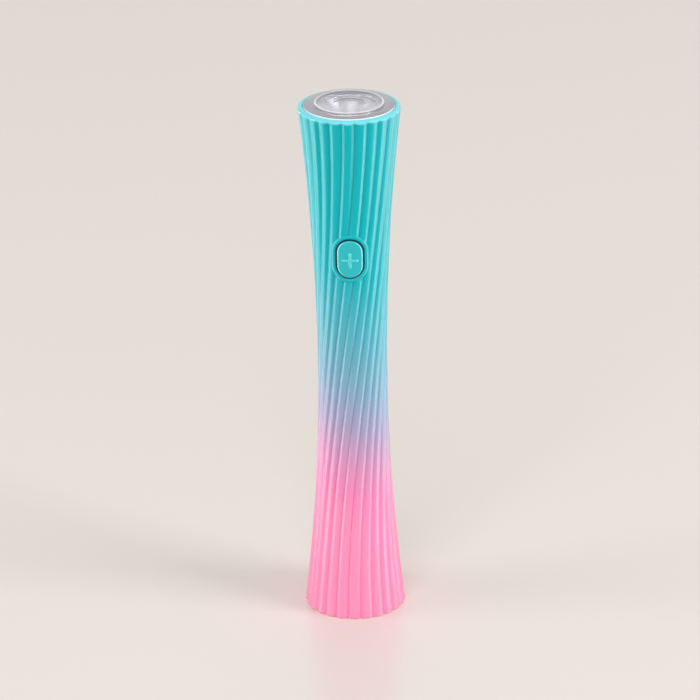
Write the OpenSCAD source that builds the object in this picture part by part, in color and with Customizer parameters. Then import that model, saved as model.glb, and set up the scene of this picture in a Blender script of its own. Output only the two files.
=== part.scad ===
// Handheld nail lamp: an hourglass body with twisted ribs, a clear lens on top and a push button in front.
// Z is up, the base rests on Z = 0 and the button faces -Y. All sizes are in millimetres.

/* [Body shell] */
// Height of the lamp from its base to the flat top of the lens
body_h = 142; // [138:0.5:150]
// Diameter over the ribs at both ends
end_d = 27; // [26.6:0.1:29]
// Diameter over the ribs at the waist
waist_d = 18.5; // [18.2:0.1:20]
// Height of the waist above the base
waist_z = 69.4; // [64:0.1:75]
// Thickness of the wall under the valleys of the ribs
shell_wall = 1.4; // [1.1:0.05:1.6]

/* [Ribs] */
// Number of ribs round the body
rib_count = 24; // [18:2:26]
// Depth of the valleys between the ribs at the ends
rib_depth = 0.57; // [0.3:0.01:0.7]
// Turn of the ribs from the top of the body to its base, in degrees
rib_twist = 75; // [0:1:110]
// Angle of the first valley from the front, at the top, in degrees
rib_phase = 7.6; // [0:0.1:16]

/* [Rim and base edge] */
// Depth of the rim's top under the flat top of the lens
rim_drop = 0.35; // [0.2:0.05:0.6]
// Height of the plain rim above the ribs
rim_h = 1.25; // [1.1:0.05:2]
// Radius of the rim's outer edge
rim_round = 0.9; // [0.4:0.05:1]
// Chamfer on the outer edge of the base
base_edge = 0.35; // [0.2:0.05:0.6]

/* [Lens] */
// Diameter of the lens
lens_d = 23.8; // [23.4:0.1:24.6]
// Thickness of the lens at its flat border
lens_t = 1.4; // [1.2:0.1:1.8]
// Outer diameter of the raised ring on the lens
lens_ring_d = 18.3; // [17:0.1:19.5]
// Height of the raised ring over the flat border
lens_ring_h = 0.55; // [0.3:0.05:0.8]
// Width of the raised ring
lens_ring_w = 0.7; // [0.4:0.05:1]
// Depth of the dish inside the raised ring
lens_dish = 0.9; // [0.5:0.05:1.1]
// Thickness of the sealing ring under the lens
seal_t = 0.2; // [0.15:0.05:0.4]

/* [Lamp head] */
// Height of the reflector
reflector_h = 9.6; // [8:0.1:11]
// Wall of the reflector
reflector_wall = 0.8; // [0.6:0.05:1]
// Width of the step between the reflector's mouth and the lens's raised ring
mouth_step = 0.55; // [0.3:0.05:1]
// Side of the square light source
led_side = 3.45; // [3:0.05:3.6]
// Thickness of the light source under its dome
led_t = 0.7; // [0.5:0.05:1]
// Radius of the light source's dome
led_dome_r = 1.3; // [1:0.05:1.5]
// Thickness of the light source's board
led_board_t = 1.2; // [1:0.1:1.6]
// Distance of the board's screws from the axis
led_screw_r = 7.2; // [6.8:0.1:7.6]
// Thickness of the carrier's top plate
carrier_plate_t = 2.2; // [2:0.1:3]

/* [Button] */
// Distance of the button's centre under the flat top of the lens
button_drop = 39.3; // [37:0.1:43]
// Width of the button's face
button_w = 6.75; // [6.2:0.05:7.2]
// Height of the button's face
button_h = 10.5; // [9.5:0.05:11]
// Gap between the button and the body
button_gap = 0.3; // [0.15:0.05:0.4]
// Height of the button's face over the collar
button_proud = 0.3; // [0.2:0.05:0.6]
// Radius of the edge of the button's face
button_round = 0.45; // [0.2:0.05:0.7]
// Travel of the button
button_travel = 0.5; // [0.2:0.05:0.6]
// Width of the smooth collar round the button
collar_w = 0.95; // [0.7:0.05:1.3]
// Height of the collar over the ribs
collar_proud = 0.12; // [0.08:0.01:0.3]
// Width of the button's flange behind the wall
flange_w = 0.65; // [0.5:0.05:0.8]
// Thickness of the button's flange
flange_t = 0.9; // [0.7:0.05:1.1]
// Length of the bars of the raised cross on the button
cross_len = 4.4; // [3.5:0.1:5]
// Width of the bars of the raised cross
cross_w = 0.78; // [0.5:0.02:1]
// Height of the raised cross
cross_h = 0.18; // [0.1:0.02:0.3]
// Distance of the cross under the middle of the button
cross_drop = 0.3; // [0:0.05:0.6]

/* [Switch] */
// Side of the square switch
switch_side = 6; // [5.6:0.1:6.2]
// Height of the switch's housing, with its steel cover
switch_h = 3.3; // [3:0.1:3.6]
// Thickness of the switch's steel cover
switch_cover_t = 0.3; // [0.2:0.05:0.4]
// Diameter of the switch's plunger
plunger_d = 3.4; // [3:0.1:3.6]
// Height of the plunger over the switch's cover
plunger_out = 0.7; // [0.65:0.05:1]

/* [Boards] */
// Width of the main board
main_board_w = 11; // [10.6:0.1:11.2]
// Thickness of the main board and of the charging board
board_t = 1; // [0.8:0.05:1.2]
// Distance of the main board's front face from the axis
main_board_y = 1.2; // [1:0.1:1.6]
// Width of the charging board
charge_board_w = 12; // [11:0.1:13]
// Length of the charging board
charge_board_len = 15; // [14:0.1:17]

/* [Battery] */
// Diameter of the cell
cell_d = 13; // [12:0.1:13.2]
// Length of the cell
cell_len = 45; // [38:0.5:47]
// Thickness of the foam pads at the cell's ends
pad_t = 1.5; // [1:0.1:2]
// Thickness of the welded tabs
tab_t = 0.2; // [0.1:0.05:0.3]
// Height of the foam rings round the cell
foam_h = 5; // [3:0.5:7]
// Diameter of the insulated wires
wire_d = 0.7; // [0.5:0.05:0.75]

/* [Base and charging socket] */
// Height of the end cap
cap_h = 7; // [5.5:0.1:8]
// Thickness of the end cap's floor
cap_floor = 1.6; // [1.4:0.1:2.2]
// Wall of the end cap's skirt
cap_skirt = 1.1; // [0.8:0.1:1.5]
// Width of the socket's steel shell
usb_w = 8.94; // [8.94:0.01:9]
// Height of the socket's steel shell
usb_h = 3.26; // [3.2:0.01:3.3]
// Length of the socket
usb_len = 7.35; // [6.5:0.05:8]
// Thickness of the socket's steel shell
usb_wall = 0.3; // [0.25:0.01:0.35]
// Depth of the socket's mouth inside the base
usb_inset = 0.4; // [0.2:0.05:0.8]

/* [Fits] */
// Clearance round pieces that are pushed into place
fit = 0.05; // [0.02:0.01:0.1]
// Running clearance round the switch's plunger
run_fit = 0.05; // [0.02:0.01:0.08]
// Clearance round pieces that lie loose in a slot
slot_fit = 0.1; // [0.05:0.01:0.15]
// Width of the shoulders that the cap and the carrier seat on
shoulder = 0.3; // [0.25:0.05:0.5]

/* [Hidden] */
$fn = 64;

// Outline of the body: two arcs of a parabola that meet at the waist
end_r = end_d / 2;
waist_r = waist_d / 2;
function along(z) = (z - waist_z) / (z > waist_z ? body_h - waist_z : waist_z);
function crest_r(z) = waist_r + (end_r - waist_r) * pow(along(z), 2);
function valley_r(z) = crest_r(z) * (1 - rib_depth / end_r);
function inner_r(z) = valley_r(z) - shell_wall;

// Turn of the ribs below the top: slow at both ends, fastest at the waist and a little ahead below it
twist_gain = 0.13;
twist_lag = 0.035;
function twist_at(z) =
    let (u = 1 - z / body_h)
        rib_twist * ((1 - cos(180 * u)) / 2 + (twist_gain * u - twist_lag) * pow(sin(180 * u), 2));

// Heights from the lens down to the carrier's seat
rim_top = body_h - rim_drop;
rib_top = rim_top - rim_h;
lens_z = body_h - lens_t;
ledge_z = lens_z - seal_t;
led_z = ledge_z - reflector_h;
led_board_z = led_z - led_board_t;
seat_z = led_board_z - carrier_plate_t;
lens_r = lens_d / 2;
lens_seat_r = lens_r + fit;
button_z = body_h - button_drop;

// Radii that the shell gives to what it holds
cap_r = inner_r(cap_h) + shoulder;
head_r = inner_r(seat_z) + shoulder;
carrier_r = head_r - fit;
led_board_gap = 0.4;
led_board_r = carrier_r - led_board_gap;

// Heights from the cap up to the carrier's lower end
charge_board_z = usb_inset + cap_floor;
post_over = 0.4;
post_top = charge_board_z + charge_board_len + post_over;
tab_z = post_top + pad_t;
cell_z = tab_z + tab_t;
cell_top = cell_z + cell_len;
carrier_z = cell_top + tab_t + pad_t;
cell_r = cell_d / 2;
wire_r = wire_d / 2;

// Depths behind the button, measured from the axis towards the front
collar_r = crest_r(button_z) + collar_proud;
button_wall = 2.2;
land_y = collar_r - button_wall;
flange_rest_gap = 0.05;
flange_front = land_y - flange_rest_gap;
flange_back = flange_front - flange_t;
switch_front = main_board_y + switch_h;
plunger_front = switch_front + plunger_out;
touch_gap = 0.05;
stem_r = 1.5;
plunger_r = plunger_d / 2;
plunger_lip = 0.4;
plunger_lip_t = 0.3;
cavity_back = switch_front - switch_cover_t - plunger_lip_t - button_travel - 2 * touch_gap;

// The main board, its rails and its screws
rail_w = 1.2;
rail_grip = 0.6;
rail_depth = 3.8;
rail_front = main_board_y + 1;
rail_foot = 1.2;
rail_top_gap = 1.4;
main_board_z = carrier_z + rail_foot;
main_board_top = seat_z - rail_top_gap;
plate_y = 1.6;
plate_t = 1;
plate_drop = 12;
plate_z = button_z - plate_drop;
boss_r = 1.6;
screw_r = 0.8;
screw_head_r = 1.4;
screw_head_h = 0.9;
screw_slot_w = 0.3;
screw_slot_t = 0.4;
screw_fit = 0.02;
screw_drop = 8.7;
screw_inset = 2.6;
board_screw_z = [button_z - screw_drop, main_board_top - screw_inset];
led_screw_short = 0.4;
led_screw_len = led_board_t + carrier_plate_t - led_screw_short;

// Chips: long side, short side and thickness
chip_l = 5;
chip_w = 4;
chip_t = 1.5;
coil_side = 4.4;
coil_t = 2.4;
coil_r = 1.6;
coil_recess = 0.4;
small_l = 2;
small_w = 1.2;
small_t = 0.8;
chip_rise = 8.4;
coil_rise = 14.2;
small_rows = 4;
small_pitch = 3.2;
small_spread = 5.2;
charge_chip_up = 5;
charge_small_spread = 8;
charge_small_pitch = 6;

// Routes of the wires
charge_wire_angle = 35;
wire_gap = 0.08;
charge_wire_out = cell_r + wire_r + wire_gap;
charge_wire_x = charge_wire_out * sin(charge_wire_angle);
charge_wire_y = charge_wire_out * cos(charge_wire_angle);
wire_inset = 2;
wire_up = 5;
charge_wire_low = charge_board_z + charge_board_len - wire_inset;
charge_wire_high = main_board_z + wire_up;
led_wire_spread = 5;
led_wire_inset = 1.5;
led_wire_drop = 1;
led_wire_tail = 1.6;
wire_hole_gap = 0.2;
led_wire_x = led_wire_spread / 2;
led_wire_y = led_board_r - led_wire_inset;
led_wire_hole = wire_r + wire_hole_gap;
led_wire_low = main_board_top - led_wire_drop;

// A pill outline that stands up: straight sides and round ends
module tall_pill(w, h) {
    square([w, h - w], center = true);
    for (s = [-1, 1])
        translate([0, s * (h - w) / 2])
            circle(d = w);
}

// A prism of a flat shape drawn in X and Z, from one distance in front of the axis to another
module front_prism(y_back, y_front) {
    translate([0, -y_back, 0])
        rotate([90, 0, 0])
            linear_extrude(height = y_front - y_back)
                children();
}

// A round rod along Y, from one distance in front of the axis to another
module front_rod(r, y_back, y_front) {
    translate([0, -y_back, 0])
        rotate([90, 0, 0])
            cylinder(r = r, h = y_front - y_back);
}

// A block given by its lowest and highest corners
module block(low, high) {
    translate(low)
        cube(high - low);
}

// A piece and its mirror image on the other side of the middle
module both_sides() {
    children();
    mirror([1, 0, 0])
        children();
}

// A wire along straight stretches, with a round bend at each point
module wire_path(points) {
    for (i = [0 : len(points) - 2])
        let (d = points[i + 1] - points[i], l = norm(d))
            translate(points[i])
                rotate([0, acos(d[2] / l), atan2(d[1], d[0])])
                    cylinder(r = wire_r, h = l, $fn = 24);
    for (i = [1 : len(points) - 2])
        translate(points[i])
            sphere(r = wire_r, $fn = 24);
}

// The ribbed outside of the body, lofted from rings of points up to the rim
// Points round each rib, from valley to valley
points_per_rib = 6;
body_rings = 24;
ring_n = rib_count * points_per_rib;
rib_end = rib_top + rim_h / 2;
// Each ring holds its height and how far it is drawn in
shell_rings = concat(
    [[0, base_edge]],
    [for (i = [0 : body_rings])
        [base_edge + (rib_end - base_edge) * i / body_rings, 0]]
);
// Share of the valley's depth across a rib: none on the crest, all in the valley
function rib_wave(j) = pow(2 * (j % points_per_rib) / points_per_rib - 1, 2);
function ring_point(ring, j) =
    let (
        z = ring[0],
        a = rib_phase + 360 * j / ring_n - twist_at(z),
        r = crest_r(z) - (crest_r(z) - valley_r(z)) * rib_wave(j) - ring[1]
    )
        [r * sin(a), -r * cos(a), z];

module ribbed_outside() {
    n = ring_n;
    rows = len(shell_rings);
    points = [for (ring = shell_rings, j = [0 : n - 1]) ring_point(ring, j)];
    sides = [for (i = [0 : rows - 2], j = [0 : n - 1])
        let (a = i * n + j, b = i * n + (j + 1) % n)
            each [[a, b + n, b], [a, a + n, b + n]]];
    bottom = [for (j = [0 : n - 1]) j];
    top = [for (j = [n - 1 : -1 : 0]) (rows - 1) * n + j];
    polyhedron(points = points, faces = concat([bottom], sides, [top]), convexity = 8);
}

// The plain rim, under which the valleys end
rim_over = 0.05;
module rim() {
    rim_r = crest_r(rib_end) + rim_over;
    translate([0, 0, rib_top])
        rotate_extrude($fn = 96) {
            square([rim_r, rim_h - rim_round]);
            square([rim_r - rim_round, rim_h]);
            translate([rim_r - rim_round, rim_h - rim_round])
                intersection() {
                    circle(r = rim_round, $fn = 48);
                    square(rim_round);
                }
        }
}

// The smooth collar round the button, which follows the body's outline
collar_steps = 4;
collar_half_h = button_h / 2 + button_gap + collar_w;
module collar() {
    z0 = button_z - collar_half_h - 1;
    z1 = button_z + collar_half_h + 1;
    outline = [for (i = [0 : collar_steps])
        let (z = z0 + (z1 - z0) * i / collar_steps)
            [crest_r(z) + collar_proud, z]];
    intersection() {
        rotate_extrude()
            polygon(concat([[0, z0]], outline, [[0, z1]]));
        translate([0, 0, button_z])
            front_prism(waist_r / 2, end_r + 1)
                tall_pill(button_w + 2 * (button_gap + collar_w), 2 * collar_half_h);
    }
}

// The space inside the shell, from the end cap's seat to the seat of the lens
bore_steps = 14;
module inside() {
    rotate_extrude($fn = 96)
        polygon(concat(
            [[0, -1], [cap_r + fit, -1], [cap_r + fit, cap_h]],
            [for (i = [0 : bore_steps])
                let (z = cap_h + (seat_z - cap_h) * i / bore_steps)
                    [inner_r(z), z]],
            [
                [head_r, seat_z],
                [head_r, led_z],
                [inner_r(ledge_z), ledge_z],
                [lens_seat_r, ledge_z],
                [lens_seat_r, body_h + 1],
                [0, body_h + 1]
            ]
        ));
}

module body_shell() {
    color("mediumturquoise")
        difference() {
            union() {
                ribbed_outside();
                rim();
                collar();
            }
            inside();
            translate([0, 0, button_z]) {
                front_prism(waist_r / 2, end_r + 1)
                    tall_pill(button_w + 2 * button_gap, button_h + 2 * button_gap);
                front_prism(waist_r / 2, land_y)
                    tall_pill(
                        button_w + 2 * (flange_w + slot_fit),
                        button_h + 2 * (flange_w + slot_fit)
                    );
            }
        }
}

// The button's face follows the outline of the body, with a rounded edge
button_sides = 48;
button_edge_steps = 4;
button_face_steps = 3;
function pill_point(w, h, i) =
    let (a = 360 * (i + 0.5) / button_sides, s = sin(a) > 0 ? 1 : -1)
        [w / 2 * cos(a), w / 2 * sin(a) + s * (h - w) / 2];
function face_y(p, lift) =
    -sqrt(pow(crest_r(button_z + p[1]) + collar_proud + button_proud - lift, 2) - pow(p[0], 2));

module button_head() {
    n = button_sides;
    edge = [for (k = [0 : button_edge_steps])
        let (a = 90 * k / button_edge_steps)
            [button_round * (1 - cos(a)), button_round * (1 - sin(a))]];
    face = [for (k = [1 : button_face_steps])
        [button_round + (button_w / 2 - button_round) * k / (button_face_steps + 1), 0]];
    rings = concat(edge, face);
    back = [for (i = [0 : n - 1])
        let (p = pill_point(button_w, button_h, i))
            [p[0], -flange_back, p[1]]];
    front = [for (ring = rings, i = [0 : n - 1])
        let (p = pill_point(button_w - 2 * ring[0], button_h - 2 * ring[0], i))
            [p[0], face_y(p, ring[1]), p[1]]];
    rows = len(rings) + 1;
    points = concat(back, front);
    sides = [for (i = [0 : rows - 2], j = [0 : n - 1])
        let (a = i * n + j, b = i * n + (j + 1) % n)
            each [[a, b + n, b], [a, a + n, b + n]]];
    last = (rows - 1) * n;
    // The middle of the face is closed by strips between its left and right halves
    half = n / 2;
    strips = [for (j = [0 : half - 2])
        let (a = last + j, b = last + j + 1, c = last + n - 1 - j, d = last + n - 2 - j)
            each [[a, d, b], [a, c, d]]];
    polyhedron(
        points = points,
        faces = concat([[for (j = [0 : n - 1]) j]], sides, strips),
        convexity = 4
    );
}

// The raised cross stands on the face and follows it
module cross() {
    z0 = -cross_len;
    z1 = cross_len;
    lift = collar_proud + button_proud + cross_h;
    intersection() {
        front_prism(collar_r - 1, end_r)
            translate([0, -cross_drop])
                for (turn = [0, 90])
                    rotate(turn)
                        tall_pill(cross_w, cross_len);
        rotate_extrude($fn = 96)
            polygon([
                [0, z0],
                [crest_r(button_z + z0) + lift, z0],
                [crest_r(button_z) + lift, 0],
                [crest_r(button_z + z1) + lift, z1],
                [0, z1]
            ]);
    }
}

module button_cap() {
    color("darkturquoise")
        translate([0, 0, button_z]) {
            union() {
                button_head();
                cross();
                front_prism(flange_back, flange_front)
                    tall_pill(button_w + 2 * flange_w, button_h + 2 * flange_w);
                front_rod(stem_r, plunger_front + touch_gap, flange_back + flange_t / 2);
            }
        }
}

// The lens: a flat border, a raised ring and a shallow dish inside it
lens_edge = 0.2;
dish_steps = 8;
module lens() {
    ring_r = lens_ring_d / 2;
    dish_r = ring_r - lens_ring_w;
    ring_top = body_h + lens_ring_h;
    color("lightcyan", 0.5)
        rotate_extrude($fn = 96)
            polygon(concat(
                [
                    [0, lens_z],
                    [lens_r, lens_z],
                    [lens_r, body_h - lens_edge],
                    [lens_r - lens_edge, body_h],
                    [ring_r, body_h],
                    [ring_r, ring_top - lens_edge],
                    [ring_r - lens_edge, ring_top]
                ],
                [for (i = [dish_steps : -1 : 0])
                    let (u = i / dish_steps)
                        [dish_r * u, ring_top - lens_dish * (1 - u * u)]]
            ));
}

module lens_seal() {
    color("white")
        translate([0, 0, ledge_z])
            difference() {
                cylinder(r = lens_r, h = seal_t);
                translate([0, 0, -1])
                    cylinder(r = inner_r(ledge_z) + slot_fit, h = seal_t + 2);
            }
}

// The reflector: a parabolic cup with a flange under the lens and a foot on the board
foot_gap = 0.25;
foot_r = led_side * sqrt(0.5) + foot_gap;
mouth_r = lens_ring_d / 2 - mouth_step;
cup_steps = 12;
reflector_flange_t = 0.8;
function cup_r(u) = sqrt(pow(foot_r, 2) + (pow(mouth_r, 2) - pow(foot_r, 2)) * u);
module reflector() {
    flange_r = inner_r(ledge_z - reflector_flange_t) - slot_fit;
    flange_z = ledge_z - reflector_flange_t;
    wall_top = 1 - reflector_flange_t / reflector_h;
    color("silver")
        rotate_extrude($fn = 96)
            polygon(concat(
                [for (i = [0 : cup_steps])
                    let (u = i / cup_steps)
                        [cup_r(u), led_z + reflector_h * u]],
                [[flange_r, ledge_z], [flange_r, flange_z]],
                [for (i = [cup_steps : -1 : 0])
                    let (u = wall_top * i / cup_steps)
                        [cup_r(u) + reflector_wall, led_z + reflector_h * u]]
            ));
}

module led_board() {
    color("gainsboro")
        translate([0, 0, led_board_z])
            difference() {
                cylinder(r = led_board_r, h = led_board_t);
                for (s = [-1, 1]) {
                    translate([s * led_screw_r, 0, -1])
                        cylinder(r = screw_r + slot_fit, h = led_board_t + 2);
                    translate([s * led_wire_x, -led_wire_y, -1])
                        cylinder(r = led_wire_hole, h = led_board_t + 2);
                }
            }
}

module led_package() {
    color("white")
        translate([-led_side / 2, -led_side / 2, led_z])
            cube([led_side, led_side, led_t]);
}

module led_dome() {
    color("khaki")
        translate([0, 0, led_z + led_t])
            intersection() {
                sphere(r = led_dome_r);
                cylinder(r = led_side, h = led_side);
            }
}

// A pan-head screw that points down from its seat at the origin
module screw(length) {
    slot_l = 2 * (screw_head_r - screw_slot_t);
    difference() {
        cylinder(r = screw_head_r, h = screw_head_h);
        for (turn = [0, 90])
            rotate(turn)
                translate([-slot_l / 2, -screw_slot_w / 2, screw_head_h - screw_slot_t])
                    cube([slot_l, screw_slot_w, 1]);
    }
    translate([0, 0, -length])
        cylinder(r = screw_r, h = length);
}

module led_board_screws() {
    color("silver")
        for (s = [-1, 1])
            translate([s * led_screw_r, 0, led_z])
                screw(led_screw_len);
}

// The carrier: a plate under the light source, two rails for the main board and a back plate
module board_carrier() {
    rail_x = main_board_w / 2 + slot_fit;
    color("whitesmoke")
        difference() {
            union() {
                translate([0, 0, seat_z])
                    cylinder(r = carrier_r, h = carrier_plate_t);
                both_sides()
                    block(
                        [rail_x - rail_grip, -rail_front, carrier_z],
                        [rail_x + rail_w, rail_depth - rail_front, seat_z + carrier_plate_t / 2]
                    );
                block(
                    [-rail_x - rail_w, plate_y, plate_z],
                    [rail_x + rail_w, plate_y + plate_t, seat_z + carrier_plate_t / 2]
                );
                for (z = board_screw_z)
                    translate([0, 0, z])
                        front_rod(boss_r, -plate_y - plate_t / 2, main_board_y - board_t);
            }
            block(
                [-rail_x, -main_board_y - slot_fit, main_board_z - slot_fit],
                [rail_x, -main_board_y + board_t, main_board_top + slot_fit]
            );
            for (z = board_screw_z)
                translate([0, 0, z])
                    front_rod(screw_r + screw_fit, -plate_y - plate_t - 1, main_board_y);
            for (s = [-1, 1]) {
                translate([s * led_screw_r, 0, led_z - led_screw_len])
                    cylinder(r = screw_r + screw_fit, h = led_screw_len + 1);
                translate([s * led_wire_x, -led_wire_y, seat_z - 1])
                    cylinder(r = led_wire_hole, h = carrier_plate_t + 2);
            }
        }
}

module main_board() {
    color("seagreen")
        difference() {
            block(
                [-main_board_w / 2, -main_board_y, main_board_z],
                [main_board_w / 2, board_t - main_board_y, main_board_top]
            );
            for (z = board_screw_z)
                translate([0, 0, z])
                    front_rod(screw_r + slot_fit, -plate_y, main_board_y + 1);
        }
}

module board_screws() {
    color("silver")
        for (z = board_screw_z)
            translate([0, -main_board_y, z])
                rotate([90, 0, 0])
                    screw(board_t + plate_y + plate_t / 2);
}

// A part soldered to the main board's front face, centred at a place on it
module on_main_board(x, z) {
    translate([x, -main_board_y, z])
        rotate([90, 0, 0])
            children();
}

module driver_chip() {
    color("dimgray")
        on_main_board(0, button_z + chip_rise)
            translate([-chip_l / 2, -chip_w / 2, 0])
                cube([chip_l, chip_w, chip_t]);
}

module inductor() {
    color("gray")
        on_main_board(0, button_z + coil_rise)
            difference() {
                translate([-coil_side / 2, -coil_side / 2, 0])
                    cube([coil_side, coil_side, coil_t]);
                translate([0, 0, coil_t - coil_recess])
                    cylinder(r = coil_r, h = 1);
            }
}

// Small capacitors and resistors, in two columns between the board's foot and its lower screw
module board_parts() {
    middle = (main_board_z + board_screw_z[0]) / 2;
    color("tan")
        for (s = [-1, 1], k = [0 : small_rows - 1])
            on_main_board(s * small_spread / 2, middle + (k - (small_rows - 1) / 2) * small_pitch)
                translate([-small_l / 2, -small_w / 2, 0])
                    cube([small_l, small_w, small_t]);
}

module switch_body() {
    half = switch_side / 2;
    back = main_board_y;
    front = switch_front - switch_cover_t;
    color("dimgray")
        translate([0, 0, button_z])
            difference() {
                block([-half, -front, -half], [half, -back, half]);
                front_rod(plunger_r + plunger_lip + run_fit, cavity_back, front + 1);
            }
}

module switch_cover() {
    half = switch_side / 2;
    color("silver")
        translate([0, 0, button_z])
            difference() {
                block([-half, -switch_front, -half], [half, switch_cover_t - switch_front, half]);
                front_rod(plunger_r + run_fit, 0, switch_front + 1);
            }
}

module switch_plunger() {
    lip_front = switch_front - switch_cover_t - touch_gap;
    color("black")
        translate([0, 0, button_z]) {
            front_rod(plunger_r, lip_front - plunger_lip_t, plunger_front);
            front_rod(plunger_r + plunger_lip, lip_front - plunger_lip_t, lip_front);
        }
}

module led_wires() {
    color("crimson")
        for (s = [-1, 1])
            wire_path([
                [s * led_wire_x, -main_board_y, led_wire_low],
                [s * led_wire_x, -led_wire_y, led_wire_low],
                [s * led_wire_x, -led_wire_y, led_z + wire_r],
                [s * led_wire_x, led_wire_tail - led_wire_y, led_z + wire_r]
            ]);
}

module battery_cell() {
    color("royalblue")
        translate([0, 0, cell_z])
            cylinder(r = cell_r, h = cell_len);
}

// Welded tabs that reach forward past the cell's edge
tab_w = 3;
tab_reach = cell_r + wire_d;
module battery_tabs() {
    color("silver")
        for (z = [tab_z, cell_top])
            block([-tab_w / 2, -tab_reach, z], [tab_w / 2, cell_r / 2, z + tab_t]);
}

module battery_pads() {
    color("darkslategray")
        for (z = [post_top, cell_top + tab_t])
            translate([0, 0, z])
                cylinder(r = cell_r - wire_d, h = pad_t);
}

// Foam rings that centre the cell in the shell, notched for the wires
foam_from_end = 4;
module battery_foam_rings() {
    color("darkslategray")
        for (z = [cell_z + foam_from_end, cell_top - foam_from_end - foam_h])
            translate([0, 0, z])
                difference() {
                    cylinder(r = min(inner_r(z), inner_r(z + foam_h)) - slot_fit, h = foam_h);
                    translate([0, 0, -1])
                        cylinder(r = cell_r + fit, h = foam_h + 2);
                    for (s = [-1, 1])
                        translate([s * charge_wire_x, charge_wire_y, -1])
                            cylinder(r = wire_r + slot_fit, h = foam_h + 2);
                }
}

module battery_wires() {
    y = tab_reach - wire_r;
    color("crimson") {
        wire_path([
            [0, -y, tab_z],
            [0, -y, charge_wire_low],
            [0, usb_h / 2, charge_wire_low]
        ]);
        wire_path([
            [0, -y, cell_top + tab_t],
            [0, -y, charge_wire_high],
            [0, -main_board_y, charge_wire_high]
        ]);
    }
}

// The charging board stands behind the socket, between the cap's posts
charge_board_y = usb_h / 2;
module charge_board() {
    color("seagreen")
        block(
            [-charge_board_w / 2, charge_board_y, charge_board_z],
            [charge_board_w / 2, charge_board_y + board_t, charge_board_z + charge_board_len]
        );
}

module charge_chip() {
    color("dimgray")
        translate([-chip_l / 2, charge_board_y + board_t, charge_board_z + charge_chip_up])
            cube([chip_l, chip_t, chip_w]);
}

// Small parts on both sides of the charging chip, level with its ends
module charge_parts() {
    middle = charge_board_z + charge_chip_up + chip_w / 2;
    color("tan")
        for (s = [-1, 1], t = [-1, 1])
            translate([
                (s * charge_small_spread - small_w) / 2,
                charge_board_y + board_t,
                middle + (t * charge_small_pitch - small_l) / 2
            ])
                cube([small_w, small_t, small_l]);
}

module charge_wires() {
    color("crimson")
        for (s = [-1, 1])
            wire_path([
                [s * charge_wire_x, charge_board_y + board_t, charge_wire_low],
                [s * charge_wire_x, charge_wire_y, charge_wire_low],
                [s * charge_wire_x, charge_wire_y, charge_wire_high],
                [s * charge_wire_x, board_t - main_board_y, charge_wire_high]
            ]);
}

// A pill outline that lies along X
module flat_pill(w, h) {
    rotate(90)
        tall_pill(h, w);
}

module usb_shell() {
    color("silver")
        translate([0, 0, usb_inset])
            linear_extrude(height = usb_len)
                difference() {
                    flat_pill(usb_w, usb_h);
                    flat_pill(usb_w - 2 * usb_wall, usb_h - 2 * usb_wall);
                }
}

tongue_w = 6.69;
tongue_t = 0.7;
tongue_inset = 0.8;
insert_block_t = 1.5;
module usb_insert() {
    inner_w = usb_w - 2 * usb_wall - 2 * screw_fit;
    inner_h = usb_h - 2 * usb_wall - 2 * screw_fit;
    top = usb_inset + usb_len;
    color("black") {
        translate([0, 0, top - insert_block_t])
            linear_extrude(height = insert_block_t)
                flat_pill(inner_w, inner_h);
        block(
            [-tongue_w / 2, -tongue_t / 2, usb_inset + tongue_inset],
            [tongue_w / 2, tongue_t / 2, top - insert_block_t / 2]
        );
    }
}

contact_count = 8;
contact_pitch = 0.75;
contact_w = 0.3;
contact_t = 0.06;
contact_inset = 0.5;
module usb_contacts() {
    low = usb_inset + tongue_inset + contact_inset;
    high = usb_inset + usb_len - insert_block_t;
    color("gold")
        for (s = [-1, 1], k = [0 : contact_count - 1])
            let (x = (k - (contact_count - 1) / 2) * contact_pitch)
                translate([x - contact_w / 2, s * (tongue_t + contact_t) / 2 - contact_t / 2, low])
                    cube([contact_w, contact_t, high - low]);
}

// The end cap: a floor with the socket's opening, a skirt, and two posts that grip the charging board
port_gap = 0.2;
cap_edge = 0.25;
post_w = 2.2;
post_depth = 4.4;
post_grip = 0.7;
module end_cap() {
    post_x = charge_board_w / 2 + slot_fit;
    board_mid = charge_board_y + board_t / 2;
    color("hotpink")
        difference() {
            union() {
                rotate_extrude($fn = 96)
                    polygon([
                        [0, 0],
                        [cap_r - cap_edge, 0],
                        [cap_r, cap_edge],
                        [cap_r, cap_h],
                        [cap_r - cap_skirt, cap_h],
                        [cap_r - cap_skirt, cap_floor],
                        [0, cap_floor]
                    ]);
                both_sides()
                    block(
                        [post_x - post_grip, board_mid - post_depth / 2, cap_floor / 2],
                        [post_x + post_w - post_grip, board_mid + post_depth / 2, post_top]
                    );
            }
            block(
                [-post_x, charge_board_y - slot_fit, charge_board_z - slot_fit],
                [post_x, charge_board_y + board_t + slot_fit, post_top + 1]
            );
            translate([0, 0, -1])
                linear_extrude(height = cap_floor + 2)
                    flat_pill(usb_w + 2 * port_gap, usb_h + 2 * port_gap);
        }
}

body_shell();
end_cap();
lens();
lens_seal();
reflector();
led_board();
led_package();
led_dome();
led_board_screws();
board_carrier();
main_board();
board_screws();
driver_chip();
inductor();
board_parts();
switch_body();
switch_cover();
switch_plunger();
button_cap();
led_wires();
battery_cell();
battery_tabs();
battery_pads();
battery_foam_rings();
battery_wires();
charge_board();
charge_chip();
charge_parts();
charge_wires();
usb_shell();
usb_insert();
usb_contacts();
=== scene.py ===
# Handheld nail lamp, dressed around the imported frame.
# Sizes are written in millimetres and every mesh is made in metres.
import math

import bpy
from mathutils import Matrix, Vector


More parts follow.
